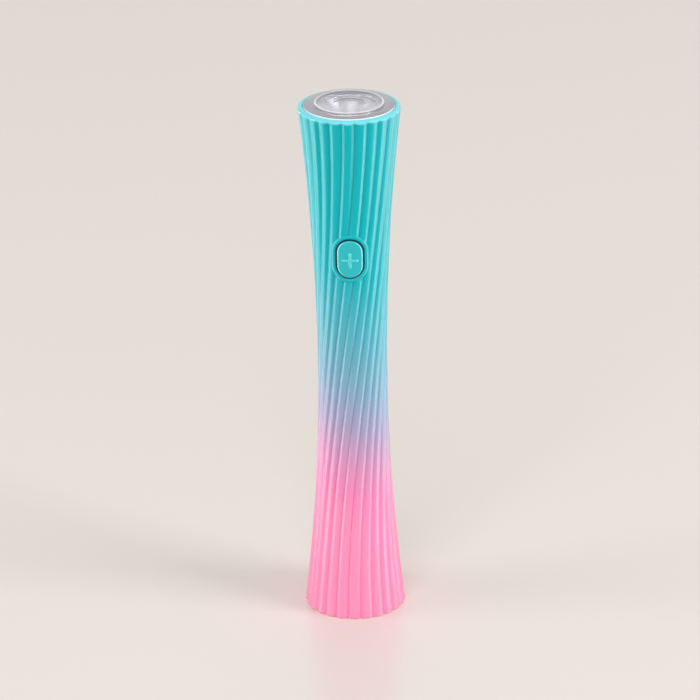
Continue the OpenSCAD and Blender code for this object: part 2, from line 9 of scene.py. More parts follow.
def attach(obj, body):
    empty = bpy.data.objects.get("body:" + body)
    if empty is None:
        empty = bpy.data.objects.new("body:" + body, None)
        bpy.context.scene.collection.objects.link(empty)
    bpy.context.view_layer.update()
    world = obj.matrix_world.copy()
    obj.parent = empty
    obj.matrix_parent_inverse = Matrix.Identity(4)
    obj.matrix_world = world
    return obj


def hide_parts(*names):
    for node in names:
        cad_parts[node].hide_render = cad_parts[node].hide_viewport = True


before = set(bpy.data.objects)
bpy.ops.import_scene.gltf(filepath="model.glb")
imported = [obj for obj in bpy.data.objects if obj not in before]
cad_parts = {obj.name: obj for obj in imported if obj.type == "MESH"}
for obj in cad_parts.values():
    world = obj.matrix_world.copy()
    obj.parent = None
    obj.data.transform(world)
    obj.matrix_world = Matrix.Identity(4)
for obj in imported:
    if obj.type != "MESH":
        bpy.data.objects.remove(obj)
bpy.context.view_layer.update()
MM = 0.001
TO_MM = 1000

# Sizes shared with the frame
BODY_H = 142.0
END_R = 13.5
WAIST_R = 9.25
WAIST_Z = 69.4
SHELL_WALL = 1.4
RIB_COUNT = 24
RIB_DEPTH = 0.57
RIB_TWIST = 75.0
TWIST_GAIN = 0.13
TWIST_LAG = 0.035
RIB_PHASE = 7.6
RIM_TOP = 141.65
BASE_ROUND = 0.35
LENS_R = 11.9
LENS_Z = 140.6
LEDGE_Z = 140.4
LENS_SEAT_R = 11.95
SEAT_CHAMFER = 0.3
LENS_RING_R = 9.15
LENS_RING_W = 0.7
LENS_RING_H = 0.55
LENS_DISH = 0.9
LED_Z = 130.8
SEAT_Z = 127.4
REFLECTOR_H = 9.6
REFLECTOR_WALL = 0.8
REFLECTOR_FLANGE_T = 0.8
MOUTH_R = 8.6
FOOT_R = 2.69
CAP_H = 7.0
SHOULDER = 0.3
FIT = 0.05
SLOT_FIT = 0.1
BUTTON_Z = 102.7
BUTTON_W = 6.75
BUTTON_H = 10.5
BUTTON_GAP = 0.3
BUTTON_PROUD = 0.3
BUTTON_ROUND = 0.45
COLLAR_PROUD = 0.12
BUTTON_WALL = 2.2
FLANGE_W = 0.65
FLANGE_T = 0.9
FLANGE_REST_GAP = 0.05
CROSS_LEN = 4.4
CROSS_W = 0.78
CROSS_H = 0.18
CROSS_DROP = 0.3
STEM_R = 1.5
STEM_BACK = 5.25


# Shapes

def smooth(t):
    """0 below 0, 1 above 1 and a soft step between them."""
    t = min(max(t, 0.0), 1.0)
    return t * t * (3 - 2 * t)


def crest_r(z):
    """Radius over the ribs at a height."""
    reach = BODY_H - WAIST_Z if z > WAIST_Z else WAIST_Z
    return WAIST_R + (END_R - WAIST_R) * ((z - WAIST_Z) / reach) ** 2


def inner_r(z):
    """Radius of the bore at a height."""
    return crest_r(z) * (1 - RIB_DEPTH / END_R) - SHELL_WALL


def twist_at(z):
    """Turn of the ribs below the top, in radians."""
    u = 1 - z / BODY_H
    swing = (1 - math.cos(math.pi * u)) / 2
    return math.radians(RIB_TWIST) * (swing + (TWIST_GAIN * u - TWIST_LAG) * math.sin(math.pi * u) ** 2)


def quarter_turn(steps, first=0):
    """Angles from 0 to a right angle in even steps."""
    return [math.pi / 2 * k / steps for k in range(first, steps + 1)]


def mesh_piece(name, points, faces, materials, body=None, sharp=35.0):
    """A shown piece from points in millimetres, smooth apart from its sharp edges."""
    mesh = bpy.data.meshes.new(name)
    mesh.from_pydata([Vector(p) * MM for p in points], [], faces)
    mesh.validate()
    piece = bpy.data.objects.new(name, mesh)
    bpy.context.scene.collection.objects.link(piece)
    for material in materials:
        mesh.materials.append(material)
    soften(mesh, sharp)
    if body:
        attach(piece, body)
    return piece


def soften(mesh, sharp):
    """Smooth shading, with the edges that bend by more than sharp degrees kept crisp."""
    mesh.shade_smooth()
    mesh.set_sharp_from_angle(angle=math.radians(sharp))


def loft(rings, closed_loop=False):
    """Points and faces of a loft through rings that have as many points each."""
    n = len(rings[0])
    points = [p for ring in rings for p in ring]
    faces = []
    rows = len(rings)
    for i in range(rows if closed_loop else rows - 1):
        low, high = i * n, (i + 1) % rows * n
        for j in range(n):
            k = (j + 1) % n
            faces.append((low + j, low + k, high + k, high + j))
    if not closed_loop:
        faces.append(tuple(range(n - 1, -1, -1)))
        faces.append(tuple(range((rows - 1) * n, rows * n)))
    return points, faces


def revolve(profile, steps):
    """A solid of revolution; a profile that starts and ends on the axis is closed there."""
    on_axis = profile[0][0] == 0
    rings = profile[1:-1] if on_axis else profile
    turns = [2 * math.pi * j / steps for j in range(steps)]
    points, faces = loft(
        [[(r * math.sin(a), -r * math.cos(a), z) for a in turns] for r, z in rings],
        closed_loop=not on_axis,
    )
    if on_axis:
        faces = faces[:-2]
        points += [(0, 0, profile[0][1]), (0, 0, profile[-1][1])]
        first, last = len(points) - 2, len(points) - 1
        top = (len(rings) - 1) * steps
        for j in range(steps):
            k = (j + 1) % steps
            faces.append((first, k, j))
            faces.append((last, top + j, top + k))
    return points, faces


def cut(piece, tool, operation):
    """Cuts a helper piece from a piece, or joins it to it, and removes the helper."""
    modifier = piece.modifiers.new("cut", "BOOLEAN")
    modifier.object = tool
    modifier.operation = operation
    modifier.solver = "MANIFOLD"
    bpy.context.view_layer.update()
    shaped = piece.evaluated_get(bpy.context.evaluated_depsgraph_get())
    mesh = bpy.data.meshes.new_from_object(shaped)
    piece.modifiers.clear()
    old = piece.data
    piece.data = mesh
    bpy.data.meshes.remove(old)
    mesh.name = piece.name
    tool_mesh = tool.data
    bpy.data.objects.remove(tool)
    bpy.data.meshes.remove(tool_mesh)


# Pill outlines round the button

def pill_outline(width, height, steps):
    """Points of an upright pill, evenly spaced, from the middle of its right side."""
    r = width / 2
    straight = height - width
    arc = math.pi * r
    total = 2 * (arc + straight)
    points = []
    for i in range(steps):
        s = (total * (i + 0.5) / steps + straight / 2) % total
        if s < straight:
            points.append((r, s - straight / 2))
        elif s < straight + arc:
            a = (s - straight) / r
            points.append((r * math.cos(a), straight / 2 + r * math.sin(a)))
        elif s < 2 * straight + arc:
            points.append((-r, straight / 2 - (s - straight - arc)))
        else:
            a = math.pi + (s - 2 * straight - arc) / r
            points.append((r * math.cos(a), -straight / 2 + r * math.sin(a)))
    return points


def on_face(x, z, lift):
    """A point of the front at a lift over the ribs' crests, x and z from the button's middle."""
    r = crest_r(BUTTON_Z + z) + lift
    return (x, -math.sqrt(r * r - x * x), BUTTON_Z + z)


def pill_offset(outline, outset):
    """The pill outline moved outwards, each point along its own normal."""
    straight = (BUTTON_H - BUTTON_W) / 2
    moved = []
    for x, z in outline:
        middle = min(max(z, -straight), straight)
        reach = math.hypot(x, z - middle)
        moved.append((
            x * (reach + outset) / reach,
            middle + (z - middle) * (reach + outset) / reach,
        ))
    return moved


def front_prism(name, outline, y_back, y_front):
    """A helper solid: an outline seen from the front, between two distances from the axis."""
    rings = [[(x, -y, BUTTON_Z + z) for x, z in outline] for y in (y_back, y_front)]
    points, faces = loft(rings)
    return mesh_piece(name, points, faces, [])


# Finishes

def colour(red, green, blue):
    """A colour written as it looks on a screen, 0 to 255, as the shaders want it."""
    def linear(v):
        v /= 255
        return v / 12.92 if v <= 0.04045 else ((v + 0.055) / 1.055) ** 2.4
    return (linear(red), linear(green), linear(blue), 1.0)


class Link:
    """A socket in a finish; arithmetic on it adds Math nodes."""

    def __init__(self, finish, socket):
        self.finish = finish
        self.socket = socket

    def maths(self, operation, *values):
        """A Math node on links and numbers."""
        return self.finish.node(
            "ShaderNodeMath", {"operation": operation}, dict(enumerate(values))
        )

    def __add__(self, other):
        return self.maths("ADD", self, other)

    __radd__ = __add__

    def __sub__(self, other):
        return self.maths("SUBTRACT", self, other)

    def __rsub__(self, other):
        return self.maths("SUBTRACT", other, self)

    def __mul__(self, other):
        return self.maths("MULTIPLY", self, other)

    __rmul__ = __mul__

    def __truediv__(self, other):
        return self.maths("DIVIDE", self, other)

    def __rtruediv__(self, other):
        return self.maths("DIVIDE", other, self)


class Finish:
    """A material in the making: one Principled shader, whose keywords name its sockets, and its nodes."""

    def __init__(self, name, **shader):
        self.material = bpy.data.materials.new(name)
        self.material.use_nodes = True
        self.tree = self.material.node_tree
        self.shader = self.tree.nodes["Principled BSDF"]
        for socket, value in shader.items():
            self.set(socket.replace("_", " ").title().replace("Ior", "IOR"), value)

    def set(self, socket, value):
        """Sets or feeds a socket of the shader."""
        self.feed(self.shader.inputs[socket], value)

    def feed(self, socket, value):
        """Sets any socket to a value, or feeds it from a link."""
        if isinstance(value, Link):
            self.tree.links.new(value.socket, socket)
        else:
            socket.default_value = value

    def node(self, kind, settings, inputs, output=0):
        """One node of any type: its settings first, then the values or links of its sockets."""
        node = self.tree.nodes.new(kind)
        for name, value in settings.items():
            if name == "stops":
                ramp = node.color_ramp.elements
                while len(ramp) < len(value):
                    ramp.new(0.5)
                for stop, (place, tone) in zip(ramp, value):
                    stop.position = place
                    stop.color = tone
            else:
                setattr(node, name, value)
        for socket, value in inputs.items():
            self.feed(node.inputs[socket], value)
        return Link(self, node.outputs[output])

    def place(self):
        """Position on the object, in metres, in the frame that it is modelled in."""
        return self.node("ShaderNodeTexCoord", {}, {}, "Object")

    def axes(self):
        """The position's x, y and z, in metres."""
        place = self.place()
        return [self.node("ShaderNodeSeparateXYZ", {}, {0: place}, axis) for axis in "XYZ"]

    def noise(self, size, detail=2.0, roughness=0.5, stretch=None):
        """Noise between about 0 and 1 whose blotches are about size millimetres across."""
        place = self.place()
        if stretch:
            place = self.node(
                "ShaderNodeVectorMath", {"operation": "MULTIPLY"}, {0: place, 1: stretch}
            )
        return self.node(
            "ShaderNodeTexNoise",
            {},
            {"Vector": place, "Scale": TO_MM / size, "Detail": detail, "Roughness": roughness},
            "Fac",
        )

    def between(self, factor, low, high):
        """A mix of two colours."""
        return self.node("ShaderNodeMix", {"data_type": "RGBA"}, {0: factor, 6: low, 7: high}, 2)

    def shaded(self, factor, tone, shade):
        """A colour multiplied by a shade as far as the factor says."""
        settings = {"data_type": "RGBA", "blend_type": "MULTIPLY"}
        return self.node("ShaderNodeMix", settings, {0: factor, 6: tone, 7: shade}, 2)

    def step(self, value, low, high):
        """A soft step from 0 where the value is low to 1 where it is high."""
        return self.node(
            "ShaderNodeMapRange",
            {"interpolation_type": "SMOOTHSTEP"},
            {"Value": value, "From Min": low, "From Max": high},
        )

    def from_axis(self, x, y):
        """Distance from the lamp's axis, in millimetres."""
        return self.node("ShaderNodeMath", {"operation": "SQRT"}, {0: x * x + y * y}) * TO_MM

    def spread(self, noise, low, high):
        """A number that goes from low to high with a noise."""
        return noise * (high - low) + low

    def bump(self, height, depth):
        """A bump from a height of 0 to 1 that is depth millimetres high, on the normal."""
        self.set("Normal", self.node(
            "ShaderNodeBump", {}, {"Strength": 1.0, "Distance": depth * MM, "Height": height}
        ))


# How much the flow marks, the grain, the drawn streaks and the stains change a surface's roughness
FLOW_SHEEN = 0.06
GRAIN_SHEEN = 0.05
STREAK_SHEEN = 0.16
STAIN_SHEEN = 0.1


def moulded(name, tone, shade, roughness=0.42, grain=0.22, depth=0.012):
    """Moulded plastic: a fine spark-eroded grain, faint flow marks and an uneven sheen."""
    finish = Finish(name)
    flow = finish.noise(6.0, detail=3.0, stretch=(1, 1, 0.35))
    fine = finish.noise(grain)
    smoothest = roughness - (FLOW_SHEEN + GRAIN_SHEEN) / 2
    finish.set("Base Color", finish.between(flow, colour(*tone), colour(*shade)))
    finish.set("Roughness", flow * FLOW_SHEEN + fine * GRAIN_SHEEN + smoothest)
    finish.bump(fine, depth)
    return finish.material


def worked_metal(name, tone, shade, roughness=0.28):
    """Metal with drawn or rolled streaks and small stains."""
    finish = Finish(name, metallic=1.0)
    streaks = finish.noise(0.5, detail=3.0, roughness=0.6, stretch=(1, 1, 12))
    stains = finish.noise(3.0, detail=4.0)
    smoothest = roughness - (STREAK_SHEEN + STAIN_SHEEN) / 2
    finish.set("Base Color", finish.between(stains, colour(*tone), colour(*shade)))
    finish.set("Roughness", streaks * STREAK_SHEEN + stains * STAIN_SHEEN + smoothest)
    finish.bump(streaks, depth=0.006)
    return finish.material


# The shell's dye by height, from 0 to 1, which leans across the body
SHELL_TILT = 0.37
SHELL_COLOURS = (
    (0.18, (254, 146, 187)),
    (0.25, (240, 140, 184)),
    (0.31, (212, 148, 189)),
    (0.38, (168, 159, 193)),
    (0.46, (126, 169, 194)),
    (0.56, (86, 175, 192)),
    (0.68, (20, 176, 187)),
    (0.80, (0, 176, 184)),
)
FLOW_DARK = (0.97, 0.97, 0.97, 1)
FLOW_LIGHT = (1.03, 1.03, 1.03, 1)

# Painted shade darkens the grooves, by the share of their depth, and a painted sheen makes the lip pale,
# from a height up
GROOVE_FROM = 0.55
GROOVE_TO = 1.0
GROOVE_PAINTED_SHADE = (0.93, 0.84, 0.87, 1)
LIP_PAINTED_SHEEN = (112, 213, 224)
PALE_NOTCH = 0.3
PALE_LOW = 140.45
PALE_HIGH = 141.0


def gradient_shell(name):
    """Satin plastic dyed from turquoise at the lens to pink at the base, with painted shade in the grooves
    and a painted sheen on the lip.
    """
    finish = Finish(name, ior=1.46, specular_ior_level=0.18)
    x, y, z = finish.axes()
    height = (z + x * SHELL_TILT) / (BODY_H * MM)
    dyed = finish.node("ShaderNodeValToRGB", {"stops": [
        (place, colour(*tone)) for place, tone in SHELL_COLOURS
    ]}, {0: height})
    flow = finish.noise(9.0, detail=3.0, stretch=(1, 1, 0.3))
    fine = finish.noise(0.16)
    uneven = finish.shaded(1.0, dyed, finish.between(flow, FLOW_DARK, FLOW_LIGHT))

    # Painted shade: the dyed colour is darkened by how deep a point lies in a groove, where shade falls
    up = z * TO_MM - WAIST_Z
    above = finish.node("ShaderNodeMath", {"operation": "MAXIMUM"}, {0: up, 1: 0.0})
    below = finish.node("ShaderNodeMath", {"operation": "MAXIMUM"}, {0: up * -1, 1: 0.0})
    reach = above / (BODY_H - WAIST_Z) + below / WAIST_Z
    crest = reach * reach * (END_R - WAIST_R) + WAIST_R
    sunk = (1 - finish.from_axis(x, y) / crest) * (END_R / RIB_DEPTH)
    ribbed = finish.shaded(finish.step(sunk, GROOVE_FROM, GROOVE_TO), uneven, GROOVE_PAINTED_SHADE)

    # Painted sheen: the lip is coloured pale, with narrow notches up the valleys, for the sheen that light
    # leaves on it
    turn = finish.node("ShaderNodeMath", {"operation": "ARCTAN2"}, {0: x, 1: y * -1})
    along = turn * RIB_COUNT - math.radians(RIB_PHASE) * RIB_COUNT
    valley = finish.node("ShaderNodeMath", {"operation": "COSINE"}, {0: along}) * 0.5 + 0.5
    notch = valley * valley * valley * PALE_NOTCH
    lip = finish.step(z * TO_MM - notch, PALE_LOW, PALE_HIGH)
    finish.set("Base Color", finish.between(lip, ribbed, colour(*LIP_PAINTED_SHEEN)))
    finish.set("Roughness", finish.spread(flow, 0.29, 0.31))
    finish.bump(fine, depth=0.002)
    return finish.material


FINE_GRAIN = {"grain": 0.16, "depth": 0.002}

shell_finish = gradient_shell("gradient_shell")
button_finish = moulded("turquoise_button", (0, 178, 188), (8, 184, 192), roughness=0.3, **FINE_GRAIN)
# The cross's tops are paler than the button's face: a painted highlight on the raised bars
cross_highlight_finish = moulded("cross_painted_highlight", (66, 200, 206), (78, 206, 211), roughness=0.3, **FINE_GRAIN)
pink_finish = moulded("pink_moulding", (252, 146, 188), (246, 136, 180))
white_finish = moulded("white_moulding", (238, 238, 236), (226, 226, 226))
seal_finish = moulded("white_seal", (246, 246, 246), (236, 236, 238), roughness=0.55)
black_finish = moulded("black_moulding", (24, 24, 26), (34, 34, 36), roughness=0.4)
# A black ring in the button's gap: painted shadow
gap_shadow_finish = moulded("black_gap_shadow_ring", (6, 16, 18), (12, 22, 24), roughness=0.7, grain=0.3, depth=0.01)
foam_finish = moulded("grey_foam", (52, 54, 58), (74, 76, 80), roughness=0.85, grain=0.6, depth=0.12)
wire_finish = moulded("red_wire_insulation", (196, 34, 40), (178, 26, 34), roughness=0.38)
led_finish = moulded("led_ceramic", (240, 240, 236), (228, 228, 224), roughness=0.4)
# The grey mask under the lens's border is partly print and partly a painted reflection of the flange seen
# through the border
lens_mask_reflection_finish = moulded("lens_mask", (164, 163, 177), (150, 149, 164), roughness=0.5, grain=0.3)
steel_finish = worked_metal("plated_steel", (196, 198, 200), (168, 170, 174))
socket_finish = worked_metal("socket_steel", (204, 206, 208), (178, 180, 184), roughness=0.22)
nickel_finish = worked_metal("nickel_strip", (205, 200, 190), (184, 178, 168), roughness=0.3)
gold_finish = worked_metal("gold_plate", (236, 190, 96), (222, 172, 80), roughness=0.2)
aluminium_finish = worked_metal("aluminium_board", (214, 216, 218), (188, 190, 194), roughness=0.38)


def clear_lens(name):
    """Clear moulded plastic with a faint haze where it flowed."""
    finish = Finish(name, transmission_weight=0.84, ior=1.49)
    haze = finish.noise(5.0)
    finish.set("Base Color", finish.between(haze, colour(246, 245, 250), colour(238, 238, 244)))
    finish.set("Roughness", finish.spread(haze, 0.05, 0.11))
    return finish.material


def ring_crest(name):
    """The crest of the lens's ring, made milky white: a painted highlight for the thin light line along the
    ring.
    """
    finish = Finish(name, transmission_weight=0.35, ior=1.49)
    glint = finish.noise(3.0)
    finish.set("Base Color", finish.between(glint, colour(246, 247, 250), colour(232, 234, 240)))
    finish.set("Roughness", finish.spread(glint, 0.12, 0.2))
    return finish.material


def frosted_edge(name):
    """The lens's sawn side, ground white; its white is also a painted highlight for the bright line round
    the lens.
    """
    finish = Finish(name, ior=1.49)
    grind = finish.noise(0.12, stretch=(1, 1, 6))
    finish.set("Base Color", finish.between(grind, colour(252, 252, 252), colour(238, 240, 244)))
    finish.set("Roughness", finish.spread(grind, 0.35, 0.45))
    finish.bump(grind, depth=0.01)
    return finish.material


# The metal coat fades to grey outwards from the cup's mouth
GREY_FROM = MOUTH_R - 0.2
GREY_TO = MOUTH_R + 0.6
GREY_METALLIC = 0.15


def metallised(name):
    """A thin metal coat on plastic: bright in the cup, grey on the flange, with a slight orange peel."""
    finish = Finish(name, metallic=1.0)
    peel = finish.noise(1.4)
    x, y, _ = finish.axes()
    flange = finish.step(finish.from_axis(x, y), GREY_FROM, GREY_TO)
    cup = finish.between(peel, colour(214, 213, 220), colour(200, 199, 207))
    finish.set("Base Color", finish.between(flange, cup, colour(132, 130, 146)))
    finish.set("Metallic", 1 - flange * (1 - GREY_METALLIC))
    finish.set("Roughness", finish.spread(peel, 0.3, 0.4))
    finish.bump(peel, depth=0.02)
    return finish.material


TRACK_PITCH_X = 1.1
TRACK_PITCH_Z = 1.7
TRACK_EDGE = 0.18


def circuit_board(name):
    """Solder mask over copper, with faint tracks."""
    finish = Finish(name, ior=1.5)
    x, _, z = finish.axes()
    across = finish.node("ShaderNodeMath", {"operation": "PINGPONG"}, {0: x * TO_MM, 1: TRACK_PITCH_X})
    along = finish.node("ShaderNodeMath", {"operation": "PINGPONG"}, {0: z * TO_MM, 1: TRACK_PITCH_Z})
    track = finish.node("ShaderNodeMath", {"operation": "LESS_THAN"}, {0: across * along, 1: TRACK_EDGE})
    fine = finish.noise(0.3)
    mask = finish.between(fine, colour(18, 92, 58), colour(26, 108, 68))
    finish.set("Base Color", finish.between(track, mask, colour(58, 140, 88)))
    finish.set("Roughness", finish.spread(fine, 0.3, 0.4))
    finish.bump(track, depth=0.03)
    return finish.material


def chip_case(name, tone, shade):
    """A chip's moulded case with a fine matt surface."""
    finish = Finish(name)
    fine = finish.noise(0.08)
    finish.set("Base Color", finish.between(fine, colour(*tone), colour(*shade)))
    finish.set("Roughness", finish.spread(fine, 0.5, 0.65))
    finish.bump(fine, depth=0.01)
    return finish.material


def cell_wrap(name):
    """A shrunk film sleeve with long soft wrinkles."""
    finish = Finish(name, coat_roughness=0.2)
    wrinkle = finish.noise(2.2, detail=3.0, stretch=(1, 1, 0.15))
    finish.set("Base Color", finish.between(wrinkle, colour(38, 92, 176), colour(52, 110, 196)))
    finish.set("Roughness", finish.spread(wrinkle, 0.25, 0.37))
    finish.set("Coat Weight", wrinkle * 0.4)
    finish.bump(wrinkle, depth=0.05)
    return finish.material


def clear_silicone(name):
    """The light source's dome: clear silicone over its chip."""
    finish = Finish(name, transmission_weight=0.85, ior=1.41)
    cloud = finish.noise(0.8)
    finish.set("Base Color", finish.between(cloud, colour(250, 248, 236), colour(246, 240, 214)))
    finish.set("Roughness", finish.spread(cloud, 0.04, 0.1))
    return finish.material


board_finish = circuit_board("circuit_board")
chip_finish = chip_case("chip_case", (30, 31, 34), (42, 43, 46))
ferrite_finish = chip_case("ferrite", (70, 70, 74), (90, 90, 94))
ceramic_finish = chip_case("chip_ceramic", (176, 150, 116), (160, 134, 100))
wrap_finish = cell_wrap("cell_wrap")
lens_finish = clear_lens("clear_lens")
lens_edge_highlight_finish = frosted_edge("lens_edge")
lens_ring_highlight_finish = ring_crest("lens_ring_painted_highlight")
mirror_finish = metallised("metallised_cup")
silicone_finish = clear_silicone("led_silicone")


# The shell: 24 twisted lobes that round over into the lip, down to the base and back up inside

# Places of the points across half a rib, from its crest at 0 to the valley at 1
HALF_RIB = (0.0, 0.15, 0.28, 0.34, 0.4, 0.46, 0.52, 0.58, 0.66, 0.8, 0.92, 0.97)
RIB_STOPS = [0.0] + [0.5 - u / 2 for u in reversed(HALF_RIB[1:])] + [0.5 + u / 2 for u in HALF_RIB]
CROWN_SLOPE = 0.16
SIDE_SLOPE = 0.7
VALLEY_SLOPE = 0.66
SHOULDER_FROM = 0.3
SHOULDER_TO = 0.62
SLOPE_STEPS = 400

# The lip: what is left of the ribs' depth, its heights, and its corner on the crests and in the valleys
LIP_WAVE = 0.25
LIP_LOW = 140.2
LIP_HIGH = 141.1
CREST_CORNER = 1.0
VALLEY_CORNER = 0.65

# How many rings each stretch of the shell's section has
BASE_STEPS = 4
BODY_STEPS = 110
LIP_STEPS = 6
CORNER_STEPS = 10
BORE_STEPS = 12

# The collar's section: how far out from the hole's edge, and how high over the crests
COLLAR_PROFILE = (
    (1.30, -1.75), (1.30, -0.62), (1.27, -0.40), (1.20, -0.20), (1.10, -0.04), (0.98, 0.07),
    (0.82, 0.12), (0.62, 0.12), (0.44, 0.08), (0.30, 0.02), (0.18, -0.06), (0.08, -0.16),
    (0.02, -0.28), (0.0, -0.42), (0.0, -1.75)
)
COLLAR_R = crest_r(BUTTON_Z) + COLLAR_PROUD
LAND_Y = COLLAR_R - BUTTON_WALL
PILL_STEPS = 96

# The helpers that cut the hole and the pocket
HOLE_OVERCUT = 0.2
TOOL_BACK = WAIST_R / 2
TOOL_FRONT = END_R + 1


def rib_slope(u):
    """Slope of a lobe across its half width: a nearly flat crown, a shoulder and a straight side."""
    crown = CROWN_SLOPE * min(u / SHOULDER_FROM, 1)
    shoulder = (SIDE_SLOPE - CROWN_SLOPE) * smooth((u - SHOULDER_FROM) / (SHOULDER_TO - SHOULDER_FROM))
    ease = (SIDE_SLOPE - VALLEY_SLOPE) * max(u - SHOULDER_TO, 0) / (1 - SHOULDER_TO)
    return crown + shoulder - ease


def rib_depths():
    """Share of the valley's depth at even steps from a lobe's crest to the valley."""
    depths = [0.0]
    for k in range(SLOPE_STEPS):
        depths.append(depths[-1] + rib_slope((k + 0.5) / SLOPE_STEPS))
    return [depth / depths[-1] for depth in depths]


RIB_DEPTHS = rib_depths()


def rib_wave(u):
    """Share of the valley's depth, from a lobe's crest at u = 0 to the valley at u = 1."""
    return RIB_DEPTHS[round(u * SLOPE_STEPS)]


def rib_point(rib, t, r, z):
    """A point at a share t across a rib, which turns with the twist."""
    a = math.radians(RIB_PHASE + 360 * (rib + t) / RIB_COUNT) - twist_at(z)
    return (r * math.sin(a), -r * math.cos(a), z)


def lobed_ring(shape, *at):
    """One ring round the ribs; the shape gives each point's height, inset and share of the depth."""
    ring = []
    for rib in range(RIB_COUNT):
        for t in RIB_STOPS:
            wave = rib_wave(abs(2 * t - 1))
            z, inset, depth = shape(wave, *at)
            crest = crest_r(z)
            r = crest - RIB_DEPTH * crest / END_R * depth * wave - inset
            ring.append(rib_point(rib, t, r, z))
    return ring


def wall_shape(wave, z, inset):
    """A point of the wall below the lip, where the ribs have their full depth."""
    return z, inset, 1.0


def lip_shape(wave, rise, over):
    """A point of the lip: rise up the wall from 0 to 1, then over the corner by an angle."""
    corner = CREST_CORNER + (VALLEY_CORNER - CREST_CORNER) * wave
    z = LIP_LOW + (RIM_TOP - corner - LIP_LOW) * rise + corner * math.sin(over)
    depth = 1 - (1 - LIP_WAVE) * smooth((z - LIP_LOW) / (LIP_HIGH - LIP_LOW))
    return z, corner * (1 - math.cos(over)), depth


def round_ring(r, z):
    """A plain ring of the shell's inside, with as many points."""
    return [rib_point(rib, t, r, z) for rib in range(RIB_COUNT) for t in RIB_STOPS]


def shell_rings():
    """Rings up the outside, over the lip, down the bore and back along the base."""
    rings = []
    for a in quarter_turn(BASE_STEPS):
        z, inset = BASE_ROUND * (1 - math.cos(a)), BASE_ROUND * (1 - math.sin(a))
        rings.append(lobed_ring(wall_shape, z, inset))
    for k in range(1, BODY_STEPS + 1):
        rings.append(lobed_ring(wall_shape, BASE_ROUND + (LIP_LOW - BASE_ROUND) * k / BODY_STEPS, 0.0))
    for k in range(1, LIP_STEPS + 1):
        rings.append(lobed_ring(lip_shape, k / LIP_STEPS, 0.0))
    for a in quarter_turn(CORNER_STEPS, first=1):
        rings.append(lobed_ring(lip_shape, 1.0, a))
    rings.append(round_ring(LENS_SEAT_R + SEAT_CHAMFER, RIM_TOP))
    rings.append(round_ring(LENS_SEAT_R, RIM_TOP - SEAT_CHAMFER))
    rings.append(round_ring(LENS_SEAT_R, LEDGE_Z))
    rings.append(round_ring(inner_r(LEDGE_Z), LEDGE_Z))
    head_r = inner_r(SEAT_Z) + SHOULDER
    rings.append(round_ring(head_r, LED_Z))
    rings.append(round_ring(head_r, SEAT_Z))
    for k in range(BORE_STEPS + 1):
        z = SEAT_Z + (CAP_H - SEAT_Z) * k / BORE_STEPS
        rings.append(round_ring(inner_r(z), z))
    cap_seat_r = inner_r(CAP_H) + SHOULDER + FIT
    rings.append(round_ring(cap_seat_r, CAP_H))
    rings.append(round_ring(cap_seat_r, 0.0))
    return rings


def collar_rings(outline):
    """The smooth collar round the button's hole, as a helper that joins the shell."""
    return [
        [on_face(x, z, lift) for x, z in pill_offset(outline, outset)]
        for outset, lift in COLLAR_PROFILE
    ]


points, faces = loft(shell_rings(), closed_loop=True)
shell = mesh_piece("ribbed_shell", points, faces, [shell_finish], "body")
hole = pill_outline(BUTTON_W + 2 * BUTTON_GAP, BUTTON_H + 2 * BUTTON_GAP, PILL_STEPS)
pocket_w = BUTTON_W + 2 * (FLANGE_W + SLOT_FIT)
pocket = pill_outline(pocket_w, pocket_w + BUTTON_H - BUTTON_W, PILL_STEPS)
points, faces = loft(collar_rings(hole), closed_loop=True)
collar = mesh_piece("collar_tool", points, faces, [shell_finish])
cut(shell, front_prism("hole_tool", pill_offset(hole, HOLE_OVERCUT), TOOL_BACK, TOOL_FRONT), "DIFFERENCE")
cut(shell, collar, "UNION")
cut(shell, front_prism("pocket_tool", pocket, TOOL_BACK, LAND_Y), "DIFFERENCE")
soften(shell.data, sharp=48)
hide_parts("body_shell")


# The button: a face that follows the body, a rounded edge, a raised cross, a flange and a stem

FACE_LIFT = COLLAR_PROUD + BUTTON_PROUD
FLANGE_FRONT = LAND_Y - FLANGE_REST_GAP
FLANGE_BACK = FLANGE_FRONT - FLANGE_T
EDGE_STEPS = 8
FACE_STEPS = 8
FACE_FILL = 0.97
STEM_STEPS = 32
STEM_SUNK = 0.2
OVERLAP = 0.001

# The cross: its bars' section as shares of half their width, inwards, and of their height
CROSS_PROFILE = (
    (0.0, 0.0), (0.04, 0.3), (0.14, 0.6), (0.3, 0.84), (0.5, 0.96), (0.75, 1.0), (0.95, 1.0)
)
BAR_STEPS = 32
BAR_SUNK = 0.5
BAR_FROM = 0.2


def capped_loft(rings):
    """A loft whose last ring, a pill, is closed by strips from side to side."""
    points, faces = loft(rings)
    faces.pop()
    n = len(rings[0])
    last = (len(rings) - 1) * n
    for k in range(n // 2 - 1):
        right, left = (n // 4 - 1 - k) % n, n // 4 + k
        low_right, low_left = (n // 4 - 2 - k) % n, n // 4 + k + 1
        faces.append((last + right, last + left, last + low_left, last + low_right))
    return points, faces


def button_head():
    """The button's pill from its flange up to the rounded edge and the curved face."""
    outline = pill_outline(BUTTON_W, BUTTON_H, PILL_STEPS)
    rings = [[(x, -FLANGE_BACK, BUTTON_Z + z) for x, z in outline]]
    for a in quarter_turn(EDGE_STEPS):
        inset = BUTTON_ROUND * (1 - math.cos(a))
        drop = BUTTON_ROUND * (1 - math.sin(a))
        rings.append([on_face(x, z, FACE_LIFT - drop) for x, z in pill_offset(outline, -inset)])
    reach = BUTTON_W / 2 * FACE_FILL - BUTTON_ROUND
    for k in range(1, FACE_STEPS + 1):
        inset = BUTTON_ROUND + reach * k / FACE_STEPS
        rings.append([on_face(x, z, FACE_LIFT) for x, z in pill_offset(outline, -inset)])
    points, faces = capped_loft(rings)
    return mesh_piece("button", points, faces, [button_finish, cross_highlight_finish])


